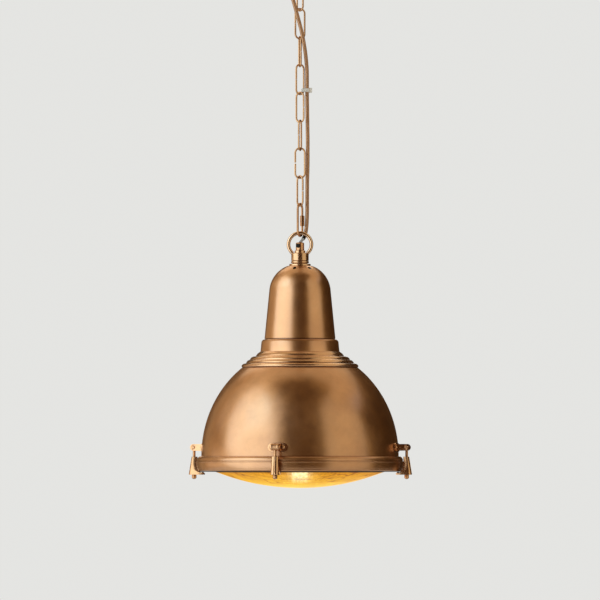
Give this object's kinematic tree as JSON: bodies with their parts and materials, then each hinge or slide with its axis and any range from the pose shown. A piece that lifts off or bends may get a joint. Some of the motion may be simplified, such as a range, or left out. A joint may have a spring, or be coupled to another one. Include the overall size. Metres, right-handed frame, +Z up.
{
  "type": "pendant light",
  "caption": "Dome pendant lamp on a split-link chain from a ceiling rose, with a bell cap, a stepped shade and a convex glass lens held in a bezel by swing clamps.",
  "frame": {"origin": "middle of the ceiling strap's top face, where the lamp is screwed to the ceiling", "axes": "+Z up into the ceiling, so the lamp hangs along -Z; -Y is the side that the picture shows, +X is the picture's right and the ceiling strap's length"},
  "size_m": [0.3228, 0.3228, 0.8108],
  "materials": {
    "aged_brass": "satin aged copper bronze over brass, with a mottled patina",
    "worn_brass": "plain brass worn pale",
    "zinc_steel": "zinc-plated steel",
    "block_plastic": "ivory moulded plastic",
    "tie_nylon": "ivory nylon",
    "flex_sheath": "bronze-coloured sheath, satin",
    "core_insulation": "brown core insulation",
    "glazed_ceramic": "glazed white porcelain",
    "bulb_glass": "clear warm glass",
    "filament_wire": "glowing filament and its stem",
    "amber_glass": "frosted amber glass, lit from inside",
    "seal_rubber": "black rubber"
  },
  "bodies": {
    "ceiling": {"ceiling_strap": "zinc_steel", "ceiling_rose": "aged_brass", "rose_loop": "aged_brass", "terminal_block": "block_plastic", "terminal_screws": "zinc_steel", "earth_screw": "worn_brass", "rose_cord_grip": "aged_brass", "rose_wires": "core_insulation"},
    "chain": {"chain_link_1": "aged_brass", "chain_link_2": "aged_brass", "chain_link_3": "aged_brass", "chain_link_4": "aged_brass", "chain_link_5": "aged_brass", "chain_link_6": "aged_brass", "chain_link_7": "aged_brass", "chain_link_8": "aged_brass", "quick_link": "aged_brass", "cable_tie": "tie_nylon", "flex_upper": "flex_sheath"},
    "link_nut": {"quick_link_nut": "worn_brass"},
    "lamp": {"suspension_ring": "aged_brass", "hub": "aged_brass", "cord_grip": "aged_brass", "grip_screw": "worn_brass", "threaded_rod": "worn_brass", "rod_nuts": "zinc_steel", "cap": "aged_brass", "gallery_collar": "aged_brass", "joint_screws": "zinc_steel", "dome_shade": "aged_brass", "lampholder_body": "glazed_ceramic", "lampholder_shell": "worn_brass", "lampholder_contact": "worn_brass", "lamp_wires": "core_insulation", "bezel": "aged_brass", "lens": "amber_glass", "lens_gasket": "seal_rubber", "rim_gasket": "seal_rubber", "lens_snap_ring": "zinc_steel", "clamp_brackets": "aged_brass", "bracket_rivets": "aged_brass", "clamp_pins": "aged_brass", "flex_lower": "flex_sheath"},
    "bulb": {"bulb_cap": "zinc_steel", "bulb_glass": "bulb_glass", "bulb_filaments": "filament_wire"},
    "swing_bolt_1": {"swing_bolt_1": "aged_brass"},
    "claw_1": {"claw_1": "aged_brass"},
    "clamp_nut_1": {"clamp_nut_1": "aged_brass"},
    "swing_bolt_2": {"swing_bolt_2": "aged_brass"},
    "claw_2": {"claw_2": "aged_brass"},
    "clamp_nut_2": {"clamp_nut_2": "aged_brass"},
    "swing_bolt_3": {"swing_bolt_3": "aged_brass"},
    "claw_3": {"claw_3": "aged_brass"},
    "clamp_nut_3": {"clamp_nut_3": "aged_brass"},
    "swing_bolt_4": {"swing_bolt_4": "aged_brass"},
    "claw_4": {"claw_4": "aged_brass"},
    "clamp_nut_4": {"clamp_nut_4": "aged_brass"}
  },
  "joints": [
    {"name": "chain_swing", "type": "hinge", "parent": "ceiling", "child": "chain", "pos_m": [0, 0, -0.07975], "axis": [0.342, 0.9397, 0], "range_deg": [-30, 30], "deforming": ["flex_upper"]},
    {"name": "lamp_swing", "type": "hinge", "parent": "chain", "child": "lamp", "pos_m": [0, 0, -0.4416], "axis": [1, 0, 0], "range_deg": [-25, 25], "deforming": ["flex_lower"]},
    {"name": "quick_link_nut_travel", "type": "slide", "parent": "chain", "child": "link_nut", "axis": [0, 0, 1], "range_m": [0, 0.008]},
    {"name": "bulb_turn", "type": "hinge", "parent": "lamp", "child": "bulb", "pos_m": [0, 0, -0.5486], "axis": [0, 0, -1], "range_deg": [0, 360]},
    {"name": "clamp_swing_1", "type": "hinge", "parent": "lamp", "child": "swing_bolt_1", "pos_m": [-0.0355, -0.15376, -0.75208], "axis": [-0.9744, 0.225, 0], "range_deg": [0, 100]},
    {"name": "claw_drop_1", "type": "slide", "parent": "swing_bolt_1", "child": "claw_1", "axis": [0, 0, -1], "range_m": [0, 0.005]},
    {"name": "clamp_nut_travel_1", "type": "slide", "parent": "swing_bolt_1", "child": "clamp_nut_1", "axis": [0, 0, -1], "range_m": [0, 0.005]},
    {"name": "clamp_swing_2", "type": "hinge", "parent": "lamp", "child": "swing_bolt_2", "pos_m": [0.15376, -0.0355, -0.75208], "axis": [-0.225, -0.9744, 0], "range_deg": [0, 100]},
    {"name": "claw_drop_2", "type": "slide", "parent": "swing_bolt_2", "child": "claw_2", "axis": [0, 0, -1], "range_m": [0, 0.005]},
    {"name": "clamp_nut_travel_2", "type": "slide", "parent": "swing_bolt_2", "child": "clamp_nut_2", "axis": [0, 0, -1], "range_m": [0, 0.005]},
    {"name": "clamp_swing_3", "type": "hinge", "parent": "lamp", "child": "swing_bolt_3", "pos_m": [0.0355, 0.15376, -0.75208], "axis": [0.9744, -0.225, 0], "range_deg": [0, 100]},
    {"name": "claw_drop_3", "type": "slide", "parent": "swing_bolt_3", "child": "claw_3", "axis": [0, 0, -1], "range_m": [0, 0.005]},
    {"name": "clamp_nut_travel_3", "type": "slide", "parent": "swing_bolt_3", "child": "clamp_nut_3", "axis": [0, 0, -1], "range_m": [0, 0.005]},
    {"name": "clamp_swing_4", "type": "hinge", "parent": "lamp", "child": "swing_bolt_4", "pos_m": [-0.15376, 0.0355, -0.75208], "axis": [0.225, 0.9744, 0], "range_deg": [0, 100]},
    {"name": "claw_drop_4", "type": "slide", "parent": "swing_bolt_4", "child": "claw_4", "axis": [0, 0, -1], "range_m": [0, 0.005]},
    {"name": "clamp_nut_travel_4", "type": "slide", "parent": "swing_bolt_4", "child": "clamp_nut_4", "axis": [0, 0, -1], "range_m": [0, 0.005]}
  ],
  "couplings": [
    {"joint": "clamp_nut_travel_1", "follows": "claw_drop_1", "ratio": 1},
    {"joint": "clamp_nut_travel_2", "follows": "claw_drop_2", "ratio": 1},
    {"joint": "clamp_nut_travel_3", "follows": "claw_drop_3", "ratio": 1},
    {"joint": "clamp_nut_travel_4", "follows": "claw_drop_4", "ratio": 1}
  ]
}
